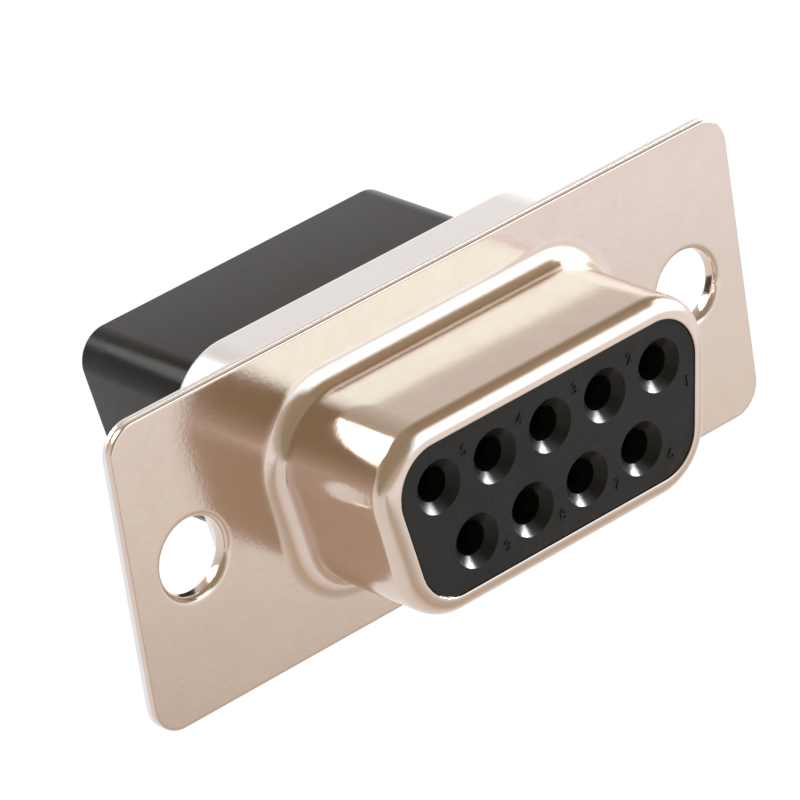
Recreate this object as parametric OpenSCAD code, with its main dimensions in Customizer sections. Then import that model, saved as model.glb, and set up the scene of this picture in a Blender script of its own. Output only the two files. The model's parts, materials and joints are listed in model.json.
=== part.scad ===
// Nine-way D-sub receptacle, crimp type, E size: two drawn steel shells staked together
// at the screw holes, a two-part moulded insulator trapped between them, and nine turned
// socket contacts, each held in its cavity by a spring retention clip.
//
// X runs along the flange and Z up, with the row of five contacts on top. The connector
// mates towards -Y. The origin is the middle of the flange's mounting face.

/* [Flange] */
// Distance from the shroud's side to each screw hole
shroud_to_hole = 4.33; // [4.2:0.01:4.6]
// Distance from each screw hole to the flange's end
hole_to_end = 2.91; // [2.5:0.01:3.5]
// Height of the flange above and below the shroud
flange_rise = 2.325; // [2.15:0.005:2.8]
// Corner radius of the flange
flange_r = 1.25; // [0.5:0.1:3]
// Thickness of the drawn steel sheet
sheet_t = 0.25; // [0.2:0.01:0.32]
// Diameter of the screw holes
hole_d = 3.05; // [2.8:0.01:3.2]
// Bend radius at the front rim of each screw hole
hole_bend_r = 0.25; // [0.1:0.01:0.3]
// Width of the staked rim that holds the two shells together
rim_w = 0.3; // [0.15:0.01:0.4]
// Thickness of the staked rim
rim_t = 0.12; // [0.05:0.01:0.2]

/* [Front shell] */
// Distance from the outermost contacts to the shroud's side
contact_to_side = 2.625; // [2.5:0.005:2.75]
// Distance from each row of contacts to the shroud's long side
row_to_side = 2.53; // [2.4:0.01:2.7]
// Corner radius of the shroud
shroud_r = 2.6; // [2.3:0.05:2.8]
// Slope of the D shape's two ends
side_angle = 10; // [8:0.5:12]
// Reach of the shroud in front of the flange
shroud_len = 5.85; // [5.4:0.05:6.6]
// Radius of the lip rolled in at the shroud's front edge
lip_r = 0.75; // [0.7:0.01:0.95]
// Bend radius where the shroud rises from the flange
root_r = 0.85; // [0.4:0.01:0.95]

/* [Rear shell] */
// How far the cup's ends stand outside the shroud's
cup_side = 1.36; // [1.2:0.01:1.6]
// How far the cup stands above and below the shroud
cup_rise = 1.35; // [1.25:0.01:1.5]
// Corner radius of the cup
cup_r = 2.7; // [2.4:0.05:3]
// Depth of the cup behind the flange
cup_len = 3.65; // [3:0.05:4.5]
// Bend radius where the cup leaves the flange
cup_root_r = 0.35; // [0.15:0.01:0.5]
// Bend radius at the cup's closed end
cup_end_r = 0.45; // [0.35:0.01:0.6]

/* [Insulators] */
// Distance of the mating face behind the shroud's lip
face_recess = 0.05; // [0:0.01:0.3]
// Depth of the front insulator behind the front shell
base_len = 1.75; // [1.2:0.05:2]
// How far the rear body's ends lie inside the shroud's
body_inset = 0.365; // [0.2:0.005:0.5]
// How far the rear body lies inside the shroud above and below
body_drop = 0.22; // [0:0.01:0.35]
// Corner radius of the rear body
body_r = 1.25; // [1:0.05:2]
// Reach of the rear body behind the cup
body_len = 7.2; // [6:0.1:9]
// Gap between an insulator and the shell around it
fit_gap = 0.05; // [0.03:0.01:0.1]

/* [Contacts] */
// Distance between neighbouring contacts in a row
pitch = 2.77; // [2.72:0.01:2.8]
// Distance between the two rows
row_gap = 2.84; // [2.78:0.01:2.9]
// Diameter of the countersink at each contact entry
sink_d = 2.1; // [1.8:0.01:2.2]
// Diameter of each contact entry
entry_d = 1.35; // [1.15:0.01:1.4]
// Thickness of the wall behind the mating face
face_wall = 1.75; // [1:0.05:2]
// Bore of the socket that takes the mating pin
socket_bore_d = 1.02; // [1:0.01:1.06]
// Outer diameter of the socket
socket_d = 1.66; // [1.56:0.01:1.74]
// Depth of the socket's bore
socket_depth = 5.4; // [5:0.05:5.8]
// Length of the slots that make the socket springy
slot_len = 3.8; // [3:0.05:4.5]
// Width of those slots
slot_w = 0.2; // [0.1:0.01:0.22]
// Diameter of the contact's shoulder
shoulder_d = 2; // [1.9:0.01:2.02]
// Length of the contact's shoulder
shoulder_len = 0.9; // [0.6:0.05:1.2]
// Diameter of the neck that the clip grips
neck_d = 1.4; // [1.3:0.01:1.5]
// Outer diameter of the crimp barrel
crimp_d = 1.8; // [1.7:0.01:1.9]
// Bore of the crimp barrel
crimp_bore_d = 1.2; // [1.1:0.01:1.3]
// Length of the crimp barrel
crimp_len = 4.8; // [4.4:0.1:5.2]
// Depth of the crimp barrel's bore
crimp_depth = 4; // [3.5:0.1:4.2]
// Diameter of the inspection hole in the crimp barrel
peep_d = 0.5; // [0.3:0.05:0.6]
// Radial gap around a contact in its cavity
contact_gap = 0.05; // [0.03:0.01:0.08]

/* [Retention clips] */
// Length of each clip
clip_len = 3; // [2.8:0.05:3.2]
// Thickness of the clip's strip
clip_t = 0.1; // [0.06:0.01:0.12]
// Width of the slit along the clip
clip_slit = 0.4; // [0.2:0.05:0.6]
// Arc that each of the two tines covers
tine_arc = 60; // [40:5:80]

/* [Hidden] */
$fn = 48;
top_ways = 5;
bottom_ways = 4;
ways = top_ways + bottom_ways;

// Sizes that follow from the contact grid: each outline stands round the one inside it.
shroud_w = (top_ways - 1) * pitch + 2 * contact_to_side;
shroud_h = row_gap + 2 * row_to_side;
body_w = shroud_w - 2 * body_inset;
body_h = shroud_h - 2 * body_drop;
cup_w = shroud_w + 2 * cup_side;
cup_h = shroud_h + 2 * cup_rise;
hole_spacing = shroud_w + 2 * shroud_to_hole;
flange_w = hole_spacing + 2 * hole_to_end;
flange_h = shroud_h + 2 * flange_rise;

nickel = "#D9CBBE";
dull_nickel = "#D3D1D0";
black_plastic = "#2E2C2A";
gold = "#C9A24B";
spring_steel = "#B4B8BC";

// Levels along the mating axis, positive towards the mating side.
joint_z = -sheet_t;                        // where the two flanges meet
flange_back = -2 * sheet_t;
cup_end = flange_back - cup_len;
split_z = joint_z - base_len;              // where the two insulators meet
face_z = shroud_len - face_recess;
body_end = cup_end - body_len;

// Radii that a D outline's profiles are drawn at, counted from its corner centres.
nose_r = shroud_r - sheet_t - fit_gap;
tip_r = shroud_r - lip_r - fit_gap;
base_r = cup_r - sheet_t - fit_gap;

// Screw holes.
sleeve_r = hole_d / 2 + sheet_t;
sleeve_gap = 0.03;

// Contact cavities, front to back.
sink_depth = (sink_d - entry_d) / 2;
cavity_front = face_z - face_wall;
barrel_hole_r = socket_d / 2 + contact_gap;
crimp_hole_r = shoulder_d / 2 + contact_gap;
chamber_r = crimp_hole_r + clip_t + contact_gap;
clip_gap = 0.03;
chamber_back = split_z - clip_len - 2 * clip_gap;
mouth_chamfer = 0.2;

// How far the bent sections run into the flat plates beside them.
lap = 0.2;

// Contacts: the barrel starts just ahead of its guide, and the socket stops short of the
// wall in front of it.
socket_setback = 0.15;
crimp_lead = 0.2;
socket_front = cavity_front - socket_setback;
shoulder_back = split_z - shoulder_len;
crimp_front = chamber_back + crimp_lead;
neck_chamfer = 0.15;
end_chamfer = 0.1;
tip_chamfer = 0.12;
tine_root = 0.35;                          // solid ring behind the tines

beyond = 1;                                // how far a cut runs past the surface it opens
corner_steps = 14;                         // facets of a shell around each corner of the D
bend_steps = 6;                            // facets of a shell around each bend

// Corner centres of a D outline, each with its start angle and its sweep.
function corners(w, h, r) =
    let (
        x_top = w / 2 - r,
        y_top = h / 2 - r,
        x_low = x_top - 2 * y_top * tan(side_angle),
        wide = 90 + side_angle,
        narrow = 90 - side_angle
    ) [
        [[x_top, y_top], -side_angle, wide],
        [[-x_top, y_top], 90, wide],
        [[-x_low, -y_top], 90 + wide, narrow],
        [[x_low, -y_top], 270, narrow]
    ];

// Contact places: numbered from the top row's +X end, then the bottom row's.
function contact_at(i) =
    i <= top_ways
        ? [((top_ways + 1) / 2 - i) * pitch, row_gap / 2]
        : [((bottom_ways + 1) / 2 - (i - top_ways)) * pitch, -row_gap / 2];

// Turns the drafting frame (mating side up) into the connector's own.
module mating_forward() {
    rotate([90, 0, 0]) children();
}

// A D outline of true arcs and straights, grown by r from its corner centres.
module d_face(w, h, corner_r, r) {
    c = corners(w, h, corner_r);
    for (p = c) translate(p[0]) circle(r);
    polygon([for (p = c, a = [p[1], p[1] + p[2]]) p[0] + r * [cos(a), sin(a)]]);
}

module d_block(w, h, corner_r, r, low, high) {
    translate([0, 0, low]) linear_extrude(high - low) d_face(w, h, corner_r, r);
}

// The same outline as points, for the drawn shells.
function d_points(w, h, corner_r, r) = [
    for (p = corners(w, h, corner_r), k = [0:corner_steps])
        let (a = p[1] + p[2] * k / corner_steps) p[0] + r * [cos(a), sin(a)]
];

function arc(centre, r, from, to) = [
    for (k = [0:bend_steps])
        let (a = from + (to - from) * k / bend_steps) centre + r * [cos(a), sin(a)]
];

// Carries a closed section, drawn as distance from the corner centres against level,
// once around a D outline.
module d_sweep(w, h, corner_r, section) {
    n = len(d_points(w, h, corner_r, 1));
    m = len(section);
    polyhedron(
        [for (s = section, p = d_points(w, h, corner_r, s[0])) [p[0], p[1], s[1]]],
        [
            for (j = [0:m - 1], k = [0:n - 1])
                let (j2 = (j + 1) % m, k2 = (k + 1) % n)
                    [j * n + k, j2 * n + k, j2 * n + k2, j * n + k2]
        ]
    );
}

module at_screw_holes() {
    for (side = [-1, 1]) translate([side * hole_spacing / 2, 0, 0]) children();
}

module at_contacts() {
    for (i = [1:ways]) translate(contact_at(i)) children();
}

module flange_plate(low) {
    length = flange_w - 2 * flange_r;
    height = flange_h - 2 * flange_r;
    translate([0, 0, low]) linear_extrude(sheet_t) {
        square([length, flange_h], center = true);
        square([flange_w, height], center = true);
        for (x = [-1, 1], y = [-1, 1])
            translate([x * length / 2, y * height / 2]) circle(flange_r);
    }
}

// Section of the front shell: root bend, wall and the lip rolled in at the front.
function shroud_section() =
    let (
        root = [shroud_r + root_r, root_r],
        lip = [shroud_r - lip_r, shroud_len - lip_r]
    ) concat(
        [[root.x + lap, 0]],
        arc(root, root_r, 270, 180),
        arc(lip, lip_r, 0, 90),
        arc(lip, lip_r - sheet_t, 90, 0),
        arc(root, root_r + sheet_t, 180, 270),
        [[root.x + lap, joint_z]]
    );

// Section of the rear shell: root bend, wall and the bend into the closed end.
function cup_section() =
    let (
        root = [cup_r + cup_root_r, flange_back - cup_root_r],
        end = [cup_r - cup_end_r, cup_end + cup_end_r]
    ) concat(
        [[root.x + lap, joint_z]],
        arc(root, cup_root_r + sheet_t, 90, 180),
        arc(end, cup_end_r - sheet_t, 0, -90),
        [[end.x - lap, cup_end + sheet_t], [end.x - lap, cup_end]],
        arc(end, cup_end_r, -90, 0),
        arc(root, cup_root_r, 180, 90),
        [[root.x + lap, flange_back]]
    );

// What a screw hole removes: the bore and the rounded rim in front of it.
module bell_mouth() {
    rotate_extrude() difference() {
        translate([0, flange_back - beyond])
            square([hole_d / 2 + hole_bend_r, -flange_back + 2 * beyond]);
        translate([hole_d / 2, flange_back - beyond])
            square([2 * hole_bend_r, -flange_back + beyond - hole_bend_r]);
        translate([hole_d / 2 + hole_bend_r, -hole_bend_r]) circle(hole_bend_r);
    }
}

module front_shell() {
    rim_back = flange_back - rim_t;
    color(nickel) mating_forward() {
        difference() {
            union() {
                flange_plate(joint_z);
                at_screw_holes() translate([0, 0, rim_back]) {
                    cylinder(r = sleeve_r, h = joint_z - rim_back);
                    cylinder(r = sleeve_r + rim_w, h = rim_t);
                }
            }
            translate([0, 0, joint_z - beyond]) linear_extrude(2 * beyond)
                polygon(d_points(shroud_w, shroud_h, shroud_r, shroud_r + root_r));
            at_screw_holes() bell_mouth();
        }
        d_sweep(shroud_w, shroud_h, shroud_r, shroud_section());
    }
}

module rear_shell() {
    color(dull_nickel) mating_forward() {
        difference() {
            flange_plate(flange_back);
            translate([0, 0, flange_back - beyond]) linear_extrude(2 * beyond)
                polygon(d_points(cup_w, cup_h, cup_r, cup_r + cup_root_r));
            at_screw_holes() translate([0, 0, flange_back - beyond])
                cylinder(r = sleeve_r + sleeve_gap, h = 2 * beyond);
        }
        d_sweep(cup_w, cup_h, cup_r, cup_section());
        translate([0, 0, cup_end]) linear_extrude(sheet_t) difference() {
            polygon(d_points(cup_w, cup_h, cup_r, cup_r - cup_end_r));
            d_face(body_w, body_h, body_r, body_r + fit_gap);
        }
    }
}

module front_insulator() {
    color(black_plastic) mating_forward() difference() {
        union() {
            d_block(cup_w, cup_h, cup_r, base_r, split_z, joint_z);
            d_block(shroud_w, shroud_h, shroud_r, nose_r, joint_z, shroud_len - lip_r);
            d_block(shroud_w, shroud_h, shroud_r, tip_r, joint_z, face_z);
        }
        at_contacts() rotate_extrude() polygon([
            [0, split_z - beyond], [barrel_hole_r, split_z - beyond],
            [barrel_hole_r, cavity_front], [entry_d / 2, cavity_front],
            [entry_d / 2, face_z - sink_depth], [sink_d / 2, face_z],
            [sink_d / 2, face_z + beyond], [0, face_z + beyond]
        ]);
    }
}

module rear_insulator() {
    shoulder_z = cup_end + sheet_t;
    color(black_plastic) mating_forward() difference() {
        union() {
            d_block(cup_w, cup_h, cup_r, cup_r - cup_end_r - fit_gap, shoulder_z, split_z);
            d_block(body_w, body_h, body_r, body_r, body_end, shoulder_z);
        }
        at_contacts() rotate_extrude() polygon([
            [0, body_end - beyond], [crimp_hole_r + mouth_chamfer, body_end - beyond],
            [crimp_hole_r + mouth_chamfer, body_end],
            [crimp_hole_r, body_end + mouth_chamfer], [crimp_hole_r, chamber_back],
            [chamber_r, chamber_back], [chamber_r, split_z + beyond], [0, split_z + beyond]
        ]);
    }
}

module contact(i) {
    socket_back = socket_front - socket_depth;
    crimp_back = crimp_front - crimp_len;
    color(gold) mating_forward() translate(contact_at(i)) difference() {
        rotate_extrude() polygon([
            [0, crimp_back], [crimp_d / 2 - end_chamfer, crimp_back],
            [crimp_d / 2, crimp_back + end_chamfer],
            [crimp_d / 2, crimp_front - neck_chamfer], [neck_d / 2, crimp_front],
            [neck_d / 2, shoulder_back], [shoulder_d / 2, shoulder_back],
            [shoulder_d / 2, split_z], [socket_d / 2, split_z],
            [socket_d / 2, socket_front - tip_chamfer],
            [socket_d / 2 - tip_chamfer, socket_front],
            [0, socket_front]
        ]);
        rotate_extrude() polygon([
            [0, socket_back - socket_bore_d / 4], [socket_bore_d / 2, socket_back],
            [socket_bore_d / 2, socket_front - tip_chamfer],
            [socket_bore_d / 2 + tip_chamfer, socket_front],
            [socket_bore_d / 2 + tip_chamfer, socket_front + beyond],
            [0, socket_front + beyond]
        ]);
        translate([-slot_w / 2, -socket_d, socket_front - slot_len])
            cube([slot_w, 2 * socket_d, slot_len + beyond]);
        translate([0, 0, crimp_back - beyond])
            cylinder(d = crimp_bore_d, h = crimp_depth + beyond);
        translate([0, 0, crimp_back + crimp_depth - peep_d]) rotate([-90, 0, 0])
            cylinder(d = peep_d, h = crimp_d);
    }
}

module retention_clip(i) {
    clip_front = split_z - clip_gap;
    clip_back = clip_front - clip_len;
    inner_r = chamber_r - contact_gap - clip_t;
    tine_foot = clip_back + tine_root;
    tine_tip = shoulder_back - clip_gap;
    grip_r = neck_d / 2 + contact_gap;
    tine_x = clip_t / cos(atan2(inner_r - grip_r, tine_tip - tine_foot));
    color(spring_steel) mating_forward() translate(contact_at(i)) {
        difference() {
            translate([0, 0, clip_back]) rotate_extrude() translate([inner_r, 0])
                square([clip_t, clip_len]);
            translate([-clip_slit / 2, -chamber_r - beyond, clip_back - beyond])
                cube([clip_slit, chamber_r + beyond, clip_len + 2 * beyond]);
            for (turn = [0, 180]) rotate([0, 0, turn - tine_arc / 2])
                rotate_extrude(angle = tine_arc) translate([inner_r - clip_t, tine_foot])
                    square([3 * clip_t, tine_tip - tine_foot]);
        }
        for (turn = [0, 180]) rotate([0, 0, turn - tine_arc / 2])
            rotate_extrude(angle = tine_arc) polygon([
                [inner_r, tine_foot], [inner_r + clip_t, tine_foot],
                [grip_r + tine_x, tine_tip], [grip_r, tine_tip]
            ]);
    }
}

front_shell();
rear_shell();
front_insulator();
rear_insulator();
for (i = [1:ways]) {
    contact(i);
    retention_clip(i);
}
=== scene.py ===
import json
import math

import bmesh
import bpy
from mathutils import Matrix, Vector


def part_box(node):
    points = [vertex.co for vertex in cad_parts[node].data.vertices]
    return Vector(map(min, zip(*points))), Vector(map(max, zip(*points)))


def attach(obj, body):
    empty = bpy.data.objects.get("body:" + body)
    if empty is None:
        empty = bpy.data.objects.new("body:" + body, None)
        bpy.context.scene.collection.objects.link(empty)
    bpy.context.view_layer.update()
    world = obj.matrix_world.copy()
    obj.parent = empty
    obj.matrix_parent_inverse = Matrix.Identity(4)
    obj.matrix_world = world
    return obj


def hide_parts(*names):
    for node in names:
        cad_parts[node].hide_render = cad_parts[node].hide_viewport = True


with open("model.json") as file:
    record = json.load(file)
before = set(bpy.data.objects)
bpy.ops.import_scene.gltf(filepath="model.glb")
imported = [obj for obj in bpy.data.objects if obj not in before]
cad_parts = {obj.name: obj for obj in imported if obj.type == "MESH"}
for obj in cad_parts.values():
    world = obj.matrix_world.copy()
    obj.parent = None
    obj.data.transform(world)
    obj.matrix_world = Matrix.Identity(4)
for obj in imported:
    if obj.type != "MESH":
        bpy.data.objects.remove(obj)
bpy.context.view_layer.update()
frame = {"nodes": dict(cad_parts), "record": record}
mm = 0.001

record = frame["record"]
mounts = {mount["name"]: mount for mount in record["mounts"]}
flangeLow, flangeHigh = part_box("front_shell")
screwSpacing = mounts["flange_screws"]["dims"]["spacing_x_mm"]
screwRadius = mounts["flange_screws"]["dims"]["hole_r_mm"]
ways = sum(name.startswith("socket_") for name in mounts)

# Everything below is drawn in millimetres: x and z across the connector, and "forward"
# towards its mating side, which is -Y. A profile is a list of (offset, forward) steps,
# and the offset is counted from the corner centres of the outline that carries it.

cornerSteps = 24    # facets of a quarter round
holeSteps = 64      # facets round a contact hole
screwSteps = 96     # facets round a screw hole
sheetCrease = 40    # bends of the sheet sharper than this, in degrees, show as an edge
mouldedCrease = 30  # the same for the mouldings


def contactPlace(number):
    x, _, z = mounts[f"socket_{number}"]["pos_m"]
    return x / mm, z / mm


# The four corner arcs of a D outline, wide side up.
def dOutline(width, height, corner, slope):
    top = height / 2 - corner
    wide = width / 2 - corner
    narrow = wide - 2 * top * math.tan(math.radians(slope))
    return [
        (wide, top, -slope, 90 + slope),
        (-wide, top, 90, 90 + slope),
        (-narrow, -top, 180 + slope, 90 - slope),
        (narrow, -top, 270, 90 - slope),
    ]


def roundHole(x, z):
    return [(x, z, 0, 360)]


# An arc of a profile, round (offset, forward).
def bend(offset, forward, radius, start, end, steps=10):
    turns = [math.radians(start + (end - start) * k / steps) for k in range(steps + 1)]
    return [(offset + radius * math.cos(t), forward + radius * math.sin(t)) for t in turns]


def ring(bm, outline, offset, forward, steps):
    verts = []
    for x, z, start, sweep in outline:
        last = steps if sweep == 360 else steps + 1
        for k in range(last):
            turn = math.radians(start + sweep * k / steps)
            place = (x + offset * math.cos(turn), -forward, z + offset * math.sin(turn))
            verts.append(bm.verts.new(Vector(place) * mm))
    return verts


# Carries a profile round an outline and returns its first and last rings.
def carry(bm, outline, profile, steps=cornerSteps):
    rings = [ring(bm, outline, offset, forward, steps) for offset, forward in profile]
    for near, far in zip(rings, rings[1:]):
        for k in range(len(near)):
            j = (k + 1) % len(near)
            bm.faces.new((near[k], far[k], far[j], near[j]))
    return rings[0], rings[-1]


# Fills the flat area between an outer ring and the rings inside it.
def cover(bm, *loops):
    edges = []
    for loop in loops:
        for k, vert in enumerate(loop):
            pair = (vert, loop[(k + 1) % len(loop)])
            edges.append(bm.edges.get(pair) or bm.edges.new(pair))
    bmesh.ops.triangle_fill(bm, edges=edges, use_beauty=True, use_dissolve=False)


def finishPiece(name, bm, material, nodes, crease=sheetCrease):
    bmesh.ops.recalc_face_normals(bm, faces=bm.faces)
    mesh = bpy.data.meshes.new(name)
    bm.to_mesh(mesh)
    bm.free()
    mesh.shade_smooth()
    mesh.set_sharp_from_angle(angle=math.radians(crease))
    mesh.materials.append(material)
    piece = bpy.data.objects.new(name, mesh)
    bpy.context.scene.collection.objects.link(piece)
    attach(piece, "root")
    if nodes:
        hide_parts(*nodes)
    print(f"{name}: {len(mesh.polygons)} faces")
    return piece


# Finishes

nickelLook = {
    "brightColor": (0.71, 0.59, 0.515, 1),
    "brightRoughness": 0.15,
    "dullColor": (0.86, 0.845, 0.85, 1),
    "dullRoughness": 0.34,
    "peelScale": 5200,     # grain of the plate, in waves per metre
    "waveScale": 330,      # slow unevenness of the pressed sheet
    "smearScale": 900,     # drift of the plate's roughness and tone
    "bumpDepth": 0.00002,  # in metres, as all bump depths here
}
plasticLook = {
    "color": (0.0085, 0.0075, 0.0065, 1),
    "roughness": 0.25,
    "specular": 0.18,
    "grainScale": 3500,
    "flowScale": 420,      # flow marks of the moulding
    "bumpDepth": 0.000006,
}
contactLook = {"color": (0.83, 0.60, 0.25, 1), "roughness": 0.22, "bumpDepth": 0.00001}
clipLook = {"color": (0.55, 0.56, 0.58, 1), "roughness": 0.28, "bumpDepth": 0.00001}


# Adds a node, links its inputs and sets its fields.
def node(tree, kind, links=None, **values):
    made = tree.nodes.new(kind)
    for key, value in values.items():
        setattr(made, key, value)
    for key, value in (links or {}).items():
        if isinstance(value, bpy.types.NodeSocket):
            tree.links.new(value, made.inputs[key])
        else:
            made.inputs[key].default_value = value
    return made


def newGroup(name, inputs, outputs):
    group = bpy.data.node_groups.new(name, "ShaderNodeTree")
    for label, kind, value in inputs:
        socket = group.interface.new_socket(label, in_out="INPUT", socket_type=kind)
        socket.default_value = value
    for label, kind in outputs:
        group.interface.new_socket(label, in_out="OUTPUT", socket_type=kind)
    return group, group.nodes.new("NodeGroupInput"), group.nodes.new("NodeGroupOutput")


# Uneven plating: a fine grain, a slow wave, and roughness that drifts with both.
def makePlateGroup():
    number = "NodeSocketFloat"
    group, given, put = newGroup(
        "unevenPlate",
        [
            ("Grain Scale", number, 5000), ("Wave Scale", number, 300),
            ("Grain", number, 0.2), ("Wave", number, 0.6),
            ("Roughness", number, 0.15), ("Drift", number, 0.05),
        ],
        [("Height", number), ("Roughness", number), ("Tone", number)],
    )
    where = node(group, "ShaderNodeTexCoord").outputs["Object"]
    grain = node(group, "ShaderNodeTexNoise", {
        "Vector": where, "Scale": given.outputs["Grain Scale"], "Detail": 2.0, "Roughness": 0.55,
    })
    wave = node(group, "ShaderNodeTexNoise", {
        "Vector": where, "Scale": given.outputs["Wave Scale"], "Detail": 1.0, "Roughness": 0.4,
    })
    smear = node(group, "ShaderNodeTexNoise", {
        "Vector": where, "Scale": float(nickelLook["smearScale"]),
        "Detail": 4.0, "Roughness": 0.6, "Distortion": 0.6,
    })
    grainHeight = node(group, "ShaderNodeMath", {
        0: grain.outputs["Fac"], 1: given.outputs["Grain"],
    }, operation="MULTIPLY")
    height = node(group, "ShaderNodeMath", {
        0: wave.outputs["Fac"], 1: given.outputs["Wave"], 2: grainHeight.outputs[0],
    }, operation="MULTIPLY_ADD")
    centred = node(group, "ShaderNodeMath", {
        0: smear.outputs["Fac"], 1: 0.5,
    }, operation="SUBTRACT")
    rough = node(group, "ShaderNodeMath", {
        0: centred.outputs[0], 1: given.outputs["Drift"], 2: given.outputs["Roughness"],
    }, operation="MULTIPLY_ADD")
    tone = node(group, "ShaderNodeMapRange", {
        "Value": smear.outputs["Fac"], "From Min": 0.3, "From Max": 0.7,
    })
    group.links.new(height.outputs[0], put.inputs["Height"])
    group.links.new(rough.outputs[0], put.inputs["Roughness"])
    group.links.new(tone.outputs[0], put.inputs["Tone"])
    return group


def newMaterial(name):
    material = bpy.data.materials.new(name)
    material.use_nodes = True
    tree = material.node_tree
    return material, tree, tree.nodes["Principled BSDF"]


def placeGroup(tree, group, values):
    made = tree.nodes.new("ShaderNodeGroup")
    made.node_tree = group
    for key, value in values.items():
        made.inputs[key].default_value = value
    return made


# A plated or bare metal with the plate's unevenness on it.
def metalMaterial(name, color, stain, values, depth):
    material, tree, surface = newMaterial(name)
    plate = placeGroup(tree, plateGroup, values)
    blend = node(tree, "ShaderNodeMix", data_type="RGBA")
    tree.links.new(plate.outputs["Tone"], blend.inputs["Factor"])
    blend.inputs["A"].default_value = color
    blend.inputs["B"].default_value = stain
    bump = node(tree, "ShaderNodeBump", {
        "Height": plate.outputs["Height"], "Distance": depth, "Strength": 1.0,
    })
    surface.inputs["Metallic"].default_value = 1
    tree.links.new(blend.outputs["Result"], surface.inputs["Base Color"])
    tree.links.new(plate.outputs["Roughness"], surface.inputs["Roughness"])
    tree.links.new(bump.outputs["Normal"], surface.inputs["Normal"])
    return material


def tinted(color, gain, warmth=0.0):
    red, green, blue, _ = color
    return (red * gain, green * gain * (1 - warmth / 2), blue * gain * (1 - warmth), 1)


def makePlasticMaterial():
    material, tree, surface = newMaterial("blackPolyester")
    where = node(tree, "ShaderNodeTexCoord").outputs["Object"]
    grain = node(tree, "ShaderNodeTexNoise", {
        "Vector": where, "Scale": float(plasticLook["grainScale"]), "Detail": 3.0,
    })
    flow = node(tree, "ShaderNodeTexNoise", {
        "Vector": where, "Scale": float(plasticLook["flowScale"]),
        "Detail": 3.0, "Distortion": 0.8,
    })
    shade = node(tree, "ShaderNodeValToRGB", {"Fac": flow.outputs["Fac"]})
    shade.color_ramp.elements[0].position = 0.3
    shade.color_ramp.elements[0].color = tinted(plasticLook["color"], 0.85)
    shade.color_ramp.elements[1].position = 0.7
    shade.color_ramp.elements[1].color = tinted(plasticLook["color"], 1.2)
    rough = node(tree, "ShaderNodeMapRange", {
        "Value": flow.outputs["Fac"], "From Min": 0.3, "From Max": 0.7,
        "To Min": plasticLook["roughness"] - 0.05, "To Max": plasticLook["roughness"] + 0.06,
    })
    bump = node(tree, "ShaderNodeBump", {
        "Height": grain.outputs["Fac"], "Distance": plasticLook["bumpDepth"], "Strength": 1.0,
    })
    surface.inputs["Specular IOR Level"].default_value = plasticLook["specular"]
    tree.links.new(shade.outputs["Color"], surface.inputs["Base Color"])
    tree.links.new(rough.outputs[0], surface.inputs["Roughness"])
    tree.links.new(bump.outputs["Normal"], surface.inputs["Normal"])
    return material


plateGroup = makePlateGroup()
brightNickel = metalMaterial(
    "brightNickel", nickelLook["brightColor"], tinted(nickelLook["brightColor"], 0.97, 0.03),
    {
        "Grain Scale": nickelLook["peelScale"], "Wave Scale": nickelLook["waveScale"],
        "Grain": 0.16, "Wave": 0.6, "Roughness": nickelLook["brightRoughness"], "Drift": 0.08,
    },
    nickelLook["bumpDepth"],
)
dullNickel = metalMaterial(
    "dullNickel", nickelLook["dullColor"], tinted(nickelLook["dullColor"], 0.97, 0.02),
    {
        "Grain Scale": nickelLook["peelScale"], "Wave Scale": nickelLook["waveScale"],
        "Grain": 0.2, "Wave": 0.6, "Roughness": nickelLook["dullRoughness"], "Drift": 0.06,
    },
    nickelLook["bumpDepth"],
)
goldPlate = metalMaterial(
    "goldPlate", contactLook["color"], tinted(contactLook["color"], 0.93, 0.05),
    {
        "Grain Scale": 9000, "Wave Scale": 800,
        "Grain": 0.2, "Wave": 0.3, "Roughness": contactLook["roughness"], "Drift": 0.08,
    },
    contactLook["bumpDepth"],
)
springSteel = metalMaterial(
    "springSteel", clipLook["color"], tinted(clipLook["color"], 0.9, 0.02),
    {
        "Grain Scale": 9000, "Wave Scale": 800,
        "Grain": 0.3, "Wave": 0.2, "Roughness": clipLook["roughness"], "Drift": 0.1,
    },
    clipLook["bumpDepth"],
)
blackPolyester = makePlasticMaterial()
print("finishes ready")


# Shells

frontShell = {
    "sheet": 0.25,
    "flangeCorner": 1.25,
    "edgeRound": 0.07,     # blanked edge of the sheet
    "cutRound": 0.04,      # its cut edge inside the lip and at the staked rims
    "holeBend": 0.25,
    "rimWidth": 0.3,       # staked rims behind the screw holes
    "rimThick": 0.12,
    "width": 16.33,        # the shroud
    "height": 7.9,
    "corner": 2.6,
    "slope": 10,
    "lip": 0.75,
    "root": 0.85,
    "flat": 0.08,          # flat margin beside each bend, which keeps the flange's shading level
}
rearShell = {
    "width": 19.05,        # the cup
    "height": 10.6,
    "corner": 2.7,
    "depth": 3.65,
    "root": 0.35,
    "endBend": 0.45,
    "sleeveGap": 0.03,
    "bodyGap": 0.05,
}
shroudReach = -flangeLow.y / mm
flangeWidth = (flangeHigh.x - flangeLow.x) / mm
flangeHeight = (flangeHigh.z - flangeLow.z) / mm
sheet = frontShell["sheet"]
jointLevel = -sheet
flangeBack = -2 * sheet
cupEnd = flangeBack - rearShell["depth"]

flangeOutline = dOutline(flangeWidth, flangeHeight, frontShell["flangeCorner"], 0)
shroudOutline = dOutline(
    frontShell["width"], frontShell["height"], frontShell["corner"], frontShell["slope"]
)
cupOutline = dOutline(
    rearShell["width"], rearShell["height"], rearShell["corner"], frontShell["slope"]
)
screwHoles = [roundHole(side * screwSpacing / 2, 0) for side in (-1, 1)]


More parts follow.
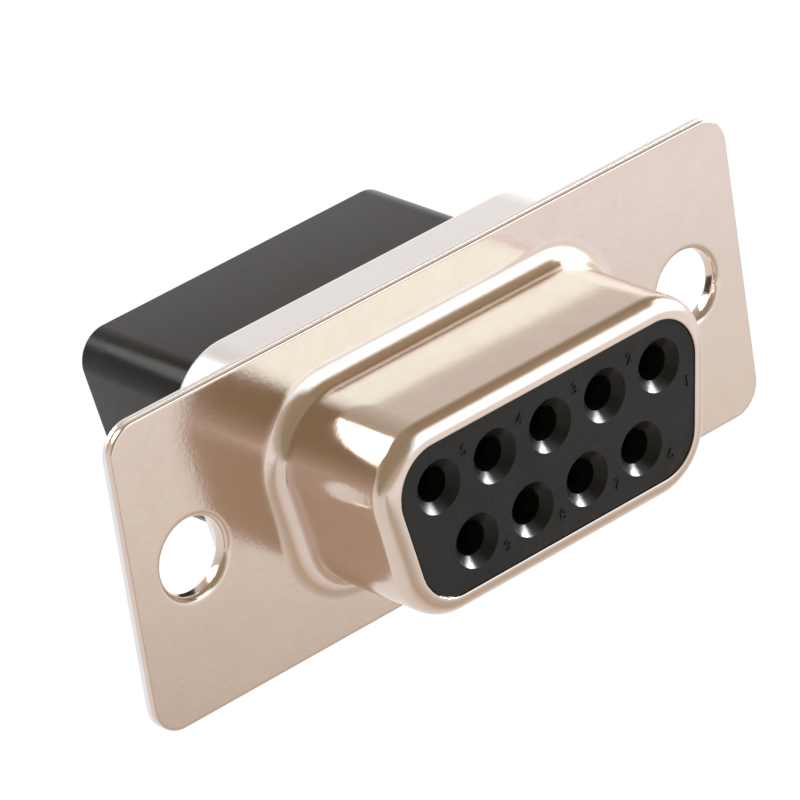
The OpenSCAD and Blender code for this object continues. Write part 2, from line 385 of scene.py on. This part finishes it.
# The blanked outer edge of a flange, rounded at both faces.
def sheetEdge(front, back):
    radius = frontShell["edgeRound"]
    outer = frontShell["flangeCorner"]
    return (
        [(outer - radius - frontShell["flat"], front)]
        + bend(outer - radius, front - radius, radius, 90, 0, 4)
        + bend(outer - radius / 2, back + radius / 2, radius / 2, 0, -90, 3)
        + [(outer - radius - frontShell["flat"], back)]
    )


def shroudProfile():
    corner, lip, root = (frontShell[key] for key in ("corner", "lip", "root"))
    cut = frontShell["cutRound"]
    tip = shroudReach - lip
    return (
        [(corner + root + frontShell["flat"], 0)]
        + bend(corner + root, root, root, 270, 180)
        + bend(corner - lip, tip, lip, 0, 90, 16)
        + bend(corner - lip, shroudReach - cut, cut, 90, 180, 3)[1:]
        + bend(corner - lip, shroudReach - sheet + cut, cut, 180, 270, 3)
        + bend(corner - lip, tip, lip - sheet, 90, 0, 12)[1:]
        + bend(corner + root, root, root + sheet, 180, 270)
        + [(corner + root + frontShell["flat"], jointLevel)]
    )


# A screw hole of the front shell: rounded mouth, sleeve and staked rim.
def sleeveProfile():
    curl = frontShell["holeBend"]
    sleeve = screwRadius + sheet
    rimBack = flangeBack - frontShell["rimThick"]
    soft = frontShell["cutRound"]
    rimEdge = sleeve + frontShell["rimWidth"]
    return (
        [(screwRadius + curl + frontShell["flat"], 0)]
        + bend(screwRadius + curl, -curl, curl, 90, 180)
        + bend(screwRadius + soft, rimBack + soft, soft, 180, 270, 3)
        + bend(rimEdge - soft, rimBack + soft, soft, 270, 360, 3)
        + [(rimEdge, flangeBack), (sleeve, flangeBack), (sleeve, jointLevel)]
        + [(sleeve + frontShell["flat"], jointLevel)]
    )


def makeFrontShell():
    bm = bmesh.new()
    fronts, backs = [], []
    for outline, profile in (
        [(flangeOutline, sheetEdge(0, jointLevel)), (shroudOutline, shroudProfile())]
        + [(hole, sleeveProfile()) for hole in screwHoles]
    ):
        steps = screwSteps if outline in screwHoles else cornerSteps
        front, back = carry(bm, outline, profile, steps)
        fronts.append(front)
        backs.append(back)
    cover(bm, *fronts)
    cover(bm, *backs)
    return finishPiece("frontShellSheet", bm, brightNickel, ["front_shell"])


def cupProfile():
    corner, root, end = (rearShell[key] for key in ("corner", "root", "endBend"))
    inner = (
        [(corner + root + frontShell["flat"], jointLevel)]
        + bend(corner + root, flangeBack - root, root + sheet, 90, 180)
        + bend(corner - end, cupEnd + end, end - sheet, 0, -90, 6)
    )
    outer = (
        bend(corner - end, cupEnd + end, end, -90, 0, 8)
        + bend(corner + root, flangeBack - root, root, 180, 90)
        + [(corner + root + frontShell["flat"], flangeBack)]
    )
    return inner, outer


def makeRearShell():
    bm = bmesh.new()
    sleeveHole = screwRadius + sheet + rearShell["sleeveGap"]
    holeProfile = [(sleeveHole, jointLevel), (sleeveHole, flangeBack)]
    edgeFront, edgeBack = carry(bm, flangeOutline, sheetEdge(jointLevel, flangeBack))
    holeRings = [carry(bm, hole, holeProfile, holeSteps) for hole in screwHoles]
    inner, outer = cupProfile()
    innerFront, innerEnd = carry(bm, cupOutline, inner)
    outerEnd, outerBack = carry(bm, cupOutline, outer)
    gap = rearBody["corner"] + rearShell["bodyGap"]
    doorInner, doorOuter = carry(bm, bodyOutline, [(gap, cupEnd + sheet), (gap, cupEnd)])
    cover(bm, edgeFront, innerFront, *[rings[0] for rings in holeRings])
    cover(bm, edgeBack, outerBack, *[rings[1] for rings in holeRings])
    cover(bm, innerEnd, doorInner)
    cover(bm, outerEnd, doorOuter)
    return finishPiece("rearShellSheet", bm, dullNickel, ["rear_shell"])


# Insulators

frontBlock = {
    "faceRecess": 0.05,
    "base": 1.75,
    "gap": 0.05,
    "edge": 0.06,          # rounding of the moulded edges
    "sinkRadius": 1.05,    # countersink at each contact entry
    "entryRadius": 0.675,
    "wall": 1.75,
    "barrelRadius": 0.88,
}
rearBody = {
    "width": 15.6,
    "height": 7.46,
    "corner": 1.25,
    "reach": 7.2,
    "edge": 0.09,
    "holeRadius": 1.05,
    "holeChamfer": 0.2,
    "chamberRadius": 1.2,
    "chamberDepth": 3.06,
}
faceLevel = shroudReach - frontBlock["faceRecess"]
splitLevel = jointLevel - frontBlock["base"]
bodyEnd = cupEnd - rearBody["reach"]
bodyOutline = dOutline(
    rearBody["width"], rearBody["height"], rearBody["corner"], frontShell["slope"]
)


def entryProfile():
    sink, entry = frontBlock["sinkRadius"], frontBlock["entryRadius"]
    cavity = faceLevel - frontBlock["wall"]
    return [
        (sink, faceLevel), (entry, faceLevel - (sink - entry)), (entry, cavity),
        (frontBlock["barrelRadius"], cavity), (frontBlock["barrelRadius"], splitLevel),
    ]


def makeFrontInsulator():
    bm = bmesh.new()
    nose = frontShell["corner"] - sheet - frontBlock["gap"]
    tip = frontShell["corner"] - frontShell["lip"] - frontBlock["gap"]
    base = rearShell["corner"] - sheet - frontBlock["gap"]
    step = shroudReach - frontShell["lip"]
    edge = frontBlock["edge"]
    noseProfile = (
        [(tip - 2 * edge, faceLevel)]
        + bend(tip - edge, faceLevel - edge, edge, 90, 0, 4)
        + [(tip, step), (nose, step), (nose, jointLevel)]
    )
    face, root = carry(bm, shroudOutline, noseProfile)
    baseFront, baseBack = carry(bm, cupOutline, [(base, jointLevel), (base, splitLevel)])
    entries = [
        carry(bm, roundHole(*contactPlace(i)), entryProfile(), holeSteps)
        for i in range(1, ways + 1)
    ]
    cover(bm, face, *[rings[0] for rings in entries])
    cover(bm, root, baseFront)
    cover(bm, baseBack, *[rings[1] for rings in entries])
    return finishPiece(
        "frontInsulatorBlock", bm, blackPolyester, ["front_insulator"],
        mouldedCrease,
    )


def makeRearInsulator():
    bm = bmesh.new()
    shoulder = rearShell["corner"] - rearShell["endBend"] - frontBlock["gap"]
    shoulderLevel = cupEnd + sheet
    corner, edge = rearBody["corner"], rearBody["edge"]
    hole, chamfer = rearBody["holeRadius"], rearBody["holeChamfer"]
    bodyProfile = (
        [(corner, shoulderLevel)]
        + bend(corner - edge, bodyEnd + edge, edge, 0, -90, 4)
        + [(corner - 2 * edge, bodyEnd)]
    )
    chamberBack = splitLevel - rearBody["chamberDepth"]
    holeProfile = [
        (hole + chamfer, bodyEnd), (hole, bodyEnd + chamfer), (hole, chamberBack),
        (rearBody["chamberRadius"], chamberBack), (rearBody["chamberRadius"], splitLevel),
    ]
    bodyFront, bodyBack = carry(bm, bodyOutline, bodyProfile)
    blockFront, blockBack = carry(
        bm, cupOutline, [(shoulder, splitLevel), (shoulder, shoulderLevel)]
    )
    cavities = [
        carry(bm, roundHole(*contactPlace(i)), holeProfile, holeSteps)
        for i in range(1, ways + 1)
    ]
    cover(bm, bodyBack, *[rings[0] for rings in cavities])
    cover(bm, blockBack, bodyFront)
    cover(bm, blockFront, *[rings[1] for rings in cavities])
    return finishPiece(
        "rearInsulatorBlock", bm, blackPolyester, ["rear_insulator"],
        mouldedCrease,
    )


makeFrontShell()
makeRearShell()
makeFrontInsulator()
makeRearInsulator()


# Numerals on the mating face

numerals = {
    "height": 0.62,
    "raised": 0.04,
    "above": 0.88,         # from the upper row's line to the middle of its numerals
    "below": 0.85,
    "beside": 1.39,        # from an entry's middle, towards +X
    "firstBeside": 1.28,   # the first numeral stands lower, clear of the lip
    "firstBelow": 1.2,
    "weld": 0.001,
}


def numeralPlace(number):
    x, z = contactPlace(number)
    if number == 1:
        return x + numerals["firstBeside"], z - numerals["firstBelow"]
    upper = z > 0
    return x + numerals["beside"], z + (numerals["above"] if upper else -numerals["below"])


def makeNumerals():
    tree = bpy.data.node_groups.new("raisedNumerals", "GeometryNodeTree")
    tree.interface.new_socket("Geometry", in_out="INPUT", socket_type="NodeSocketGeometry")
    for label in ("Height", "Raised"):
        tree.interface.new_socket(label, in_out="INPUT", socket_type="NodeSocketFloat")
    tree.interface.new_socket("Geometry", in_out="OUTPUT", socket_type="NodeSocketGeometry")
    given, put = tree.nodes.new("NodeGroupInput"), tree.nodes.new("NodeGroupOutput")
    join = tree.nodes.new("GeometryNodeJoinGeometry")
    digits = bpy.data.curves.new("digits", "FONT").font
    for number in range(1, ways + 1):
        x, z = numeralPlace(number)
        letters = node(tree, "GeometryNodeStringToCurves", {
            "String": str(number), "Size": given.outputs["Height"],
        }, align_x="CENTER", align_y="MIDDLE", font=digits)
        placed = node(tree, "GeometryNodeTransform", {
            "Geometry": letters.outputs["Curve Instances"],
            "Translation": Vector((x, z, 0)) * mm,
        })
        tree.links.new(placed.outputs["Geometry"], join.inputs["Geometry"])
    real = node(tree, "GeometryNodeRealizeInstances", {"Geometry": join.outputs["Geometry"]})
    flat = node(tree, "GeometryNodeFillCurve", {"Curve": real.outputs["Geometry"]})
    raised = node(tree, "GeometryNodeExtrudeMesh", {
        "Mesh": flat.outputs["Mesh"], "Offset Scale": given.outputs["Raised"], "Individual": False,
    })
    under = node(tree, "GeometryNodeFlipFaces", {"Mesh": flat.outputs["Mesh"]})
    both = tree.nodes.new("GeometryNodeJoinGeometry")
    tree.links.new(raised.outputs["Mesh"], both.inputs["Geometry"])
    tree.links.new(under.outputs["Mesh"], both.inputs["Geometry"])
    closed = node(tree, "GeometryNodeMergeByDistance", {
        "Geometry": both.outputs["Geometry"], "Distance": numerals["weld"] * mm,
    })
    upright = node(tree, "GeometryNodeTransform", {
        "Geometry": closed.outputs["Geometry"],
        "Translation": (0, -faceLevel * mm, 0),
        "Rotation": (math.radians(90), 0, 0),
    })
    finished = node(tree, "GeometryNodeSetMaterial", {
        "Geometry": upright.outputs["Geometry"], "Material": blackPolyester,
    })
    tree.links.new(finished.outputs["Geometry"], put.inputs["Geometry"])
    return tree


def setInputs(modifier, values):
    for item in modifier.node_group.interface.items_tree:
        if item.in_out == "INPUT" and item.name in values:
            modifier[item.identifier] = values[item.name]


def raiseNumerals():
    carrier = bpy.data.objects.new("numeralMaker", bpy.data.meshes.new("numeralMaker"))
    bpy.context.scene.collection.objects.link(carrier)
    modifier = carrier.modifiers.new("numerals", "NODES")
    modifier.node_group = makeNumerals()
    setInputs(modifier, {"Height": numerals["height"] * mm, "Raised": numerals["raised"] * mm})
    evaluated = carrier.evaluated_get(bpy.context.evaluated_depsgraph_get())
    mesh = bpy.data.meshes.new_from_object(evaluated)
    bpy.data.objects.remove(carrier)
    bm = bmesh.new()
    bm.from_mesh(mesh)
    return finishPiece("contactNumerals", bm, blackPolyester, [], mouldedCrease)


raiseNumerals()


# Contacts and clips keep their solids

for name, solid in frame["nodes"].items():
    if name.startswith("contact_"):
        solid.material_slots[0].material = goldPlate
    if name.startswith("retention_clip_"):
        solid.material_slots[0].material = springSteel
print("contacts and clips finished")


# Stage, light and camera

studio = {
    "floorDrop": 30,       # floor below the flange's lower edge
    "floorRadius": 3000,
    "floorColor": (0.9, 0.9, 0.9, 1),
    "floorRoughness": 0.9,
    "floorGlow": 1.3,      # what the floor's tones are multiplied by
    "floorSlant": 0.8,     # how far the floor's tones turn to the right
    "floorStart": -50,     # where their range starts
    "behindTone": (0.74, 0.73, 0.73, 1),  # floor behind the object, blended in over
    "behindBlend": 20,     # this distance on either side of it
    "sideBlend": (0.1, 0.35),  # from the left sky to the right, by the direction's x
    "skyBrightness": 3.0,  # what the sky's colours below are multiplied by
    "boxDistance": 300,
}
softBoxes = {
    "backBox": {"towards": (-0.34, 0.70, 0.63), "size": (150, 150), "power": 0.32},
    "rightBox": {"towards": (0.93, -0.16, 0.33), "size": (110, 150), "power": 3.5},
}
# What the plating mirrors: the sky from the front horizon over the top to the back horizon,
# in degrees, and the floor from the left to the front right, in millimetres.
skyRight = [
    (0, (0.45, 0.46, 0.48)), (10, (0.56, 0.68, 0.79)), (30, (0.60, 0.80, 0.87)),
    (45, (0.58, 0.76, 0.86)), (54, (0.40, 0.42, 0.42)), (66, (0.13, 0.10, 0.065)),
    (112, (0.12, 0.095, 0.062)), (135, (0.21, 0.195, 0.18)), (150, (0.31, 0.297, 0.29)),
    (180, (0.33, 0.325, 0.325)),
]
skyLeft = [
    (0, (0.24, 0.23, 0.22)), (14, (0.20, 0.18, 0.15)), (30, (0.14, 0.12, 0.085)),
    (70, (0.13, 0.11, 0.08)), (120, (0.14, 0.115, 0.08)), (160, (0.27, 0.26, 0.25)),
    (180, (0.31, 0.305, 0.30)),
]
floorTones = [
    (-60, (0.70, 0.69, 0.70)), (-42, (0.60, 0.55, 0.50)), (-29, (0.48, 0.41, 0.32)),
    (0, (0.52, 0.47, 0.42)), (22, (0.65, 0.63, 0.60)), (40, (0.76, 0.755, 0.73)),
    (60, (0.77, 0.77, 0.79)), (68, (0.85, 0.88, 0.95)), (200, (0.80, 0.80, 0.80)),
]
camera = {
    "azimuth": -38.412,
    "elevation": 26.55,
    "roll": -8.889,
    "distance": 257.51,
    "shiftRight": -1.758,
    "shiftUp": 0.727,
    "lens": 313.946,
}


# Colours along a range, given as (position, colour) steps.
def toneRamp(tree, value, tones, low, high):
    place = node(tree, "ShaderNodeMapRange", {"Value": value, "From Min": low, "From Max": high})
    ramp = node(tree, "ShaderNodeValToRGB", {"Fac": place.outputs[0]})
    steps = ramp.color_ramp.elements
    for position, tone in tones[1:-1]:
        steps.new((position - tones[0][0]) / (tones[-1][0] - tones[0][0])).color = (*tone, 1)
    steps[0].color = (*tones[0][1], 1)
    steps[len(steps) - 1].color = (*tones[-1][1], 1)
    return ramp.outputs["Color"]


def makeFloor():
    bm = bmesh.new()
    bmesh.ops.create_circle(bm, cap_ends=True, segments=96, radius=studio["floorRadius"] * mm)
    bmesh.ops.translate(bm, verts=bm.verts, vec=(0, 0, flangeLow.z - studio["floorDrop"] * mm))
    mesh = bpy.data.meshes.new("paleFloor")
    bm.to_mesh(mesh)
    bm.free()
    material, tree, surface = newMaterial("paleFloor")
    surface.inputs["Base Color"].default_value = studio["floorColor"]
    surface.inputs["Roughness"].default_value = studio["floorRoughness"]
    where = node(tree, "ShaderNodeSeparateXYZ", {
        "Vector": node(tree, "ShaderNodeTexCoord").outputs["Object"],
    })
    across = node(tree, "ShaderNodeMath", {
        0: where.outputs["X"], 1: studio["floorSlant"], 2: studio["floorStart"] * mm,
    }, operation="MULTIPLY_ADD")
    outwards = node(tree, "ShaderNodeMath", {
        0: across.outputs[0], 1: where.outputs["Y"],
    }, operation="SUBTRACT")
    low, high = floorTones[0][0] * mm, floorTones[-1][0] * mm
    tones = toneRamp(tree, outwards.outputs[0], floorTones, low, high)
    behind = node(tree, "ShaderNodeMapRange", {
        "Value": where.outputs["Y"],
        "From Min": -studio["behindBlend"] * mm, "From Max": studio["behindBlend"] * mm,
    })
    mirrored = node(tree, "ShaderNodeMix", data_type="RGBA")
    tree.links.new(behind.outputs[0], mirrored.inputs["Factor"])
    tree.links.new(tones, mirrored.inputs["A"])
    mirrored.inputs["B"].default_value = studio["behindTone"]
    rays = node(tree, "ShaderNodeLightPath")
    seen = node(tree, "ShaderNodeMath", {
        0: rays.outputs["Is Camera Ray"], 1: rays.outputs["Is Transmission Ray"],
    }, operation="MAXIMUM")
    anyRay = node(tree, "ShaderNodeMath", {
        0: seen.outputs[0], 1: rays.outputs["Is Glossy Ray"],
    }, operation="MAXIMUM")
    shown = node(tree, "ShaderNodeMix", data_type="RGBA")
    tree.links.new(seen.outputs[0], shown.inputs["Factor"])
    tree.links.new(mirrored.outputs["Result"], shown.inputs["A"])
    glow = studio["floorGlow"]
    shown.inputs["B"].default_value = (1 / glow, 1 / glow, 1 / glow, 1)
    white = node(tree, "ShaderNodeEmission", {"Color": shown.outputs["Result"], "Strength": glow})
    mix = tree.nodes.new("ShaderNodeMixShader")
    tree.links.new(anyRay.outputs[0], mix.inputs[0])
    tree.links.new(surface.outputs[0], mix.inputs[1])
    tree.links.new(white.outputs[0], mix.inputs[2])
    tree.links.new(mix.outputs[0], tree.nodes["Material Output"].inputs["Surface"])
    mesh.materials.append(material)
    floor = bpy.data.objects.new("paleFloor", mesh)
    bpy.context.scene.collection.objects.link(floor)


def makeSky():
    world = bpy.data.worlds.new("softSky")
    bpy.context.scene.world = world
    world.use_nodes = True
    tree = world.node_tree
    way = node(tree, "ShaderNodeSeparateXYZ", {
        "Vector": node(tree, "ShaderNodeTexCoord").outputs["Generated"],
    })
    forward = node(tree, "ShaderNodeMath", {0: way.outputs["Y"], 1: -1.0}, operation="MULTIPLY")
    turn = node(tree, "ShaderNodeMath", {
        0: way.outputs["Z"], 1: forward.outputs[0],
    }, operation="ARCTAN2")
    side = node(tree, "ShaderNodeMapRange", {
        "Value": way.outputs["X"],
        "From Min": studio["sideBlend"][0], "From Max": studio["sideBlend"][1],
    })
    blend = node(tree, "ShaderNodeMix", data_type="RGBA")
    tree.links.new(side.outputs[0], blend.inputs["Factor"])
    tree.links.new(toneRamp(tree, turn.outputs[0], skyLeft, 0, math.pi), blend.inputs["A"])
    tree.links.new(toneRamp(tree, turn.outputs[0], skyRight, 0, math.pi), blend.inputs["B"])
    sky = tree.nodes["Background"]
    tree.links.new(blend.outputs["Result"], sky.inputs["Color"])
    sky.inputs["Strength"].default_value = studio["skyBrightness"]
    plain = node(tree, "ShaderNodeBackground", {"Color": (1, 1, 1, 1), "Strength": 1.0})
    rays = node(tree, "ShaderNodeLightPath")
    mix = tree.nodes.new("ShaderNodeMixShader")
    tree.links.new(rays.outputs["Is Camera Ray"], mix.inputs[0])
    tree.links.new(sky.outputs[0], mix.inputs[1])
    tree.links.new(plain.outputs[0], mix.inputs[2])
    tree.links.new(mix.outputs[0], tree.nodes["World Output"].inputs["Surface"])


def makeSoftBox(name, box):
    light = bpy.data.lights.new(name, "AREA")
    light.shape = "RECTANGLE"
    light.size, light.size_y = (side * mm for side in box["size"])
    light.energy = box["power"]
    lamp = bpy.data.objects.new(name, light)
    bpy.context.scene.collection.objects.link(lamp)
    place = Vector(box["towards"]).normalized() * studio["boxDistance"] * mm
    lamp.location = place
    lamp.rotation_mode = "QUATERNION"
    lamp.rotation_quaternion = place.to_track_quat("Z", "Y")


def placeCamera():
    azimuth, elevation, roll = (
        math.radians(camera[key]) for key in ("azimuth", "elevation", "roll")
    )
    back = Vector((
        math.sin(azimuth) * math.cos(elevation),
        -math.cos(azimuth) * math.cos(elevation),
        math.sin(elevation),
    ))
    level = (-back).cross(Vector((0, 0, 1))).normalized()
    upright = level.cross(-back)
    right = math.cos(roll) * level + math.sin(roll) * upright
    up = -math.sin(roll) * level + math.cos(roll) * upright
    place = back * camera["distance"] + right * camera["shiftRight"] + up * camera["shiftUp"]
    data = bpy.data.cameras.new("camera")
    data.lens = camera["lens"]
    data.clip_start, data.clip_end = 0.01, 20
    eye = bpy.data.objects.new("camera", data)
    bpy.context.scene.collection.objects.link(eye)
    turn = Matrix((right, up, back)).transposed().to_4x4()
    eye.matrix_world = Matrix.Translation(place * mm) @ turn
    bpy.context.scene.camera = eye


bpy.context.scene.view_settings.view_transform = "Standard"
makeFloor()
makeSky()
for name, box in softBoxes.items():
    makeSoftBox(name, box)
placeCamera()
print("stage ready")
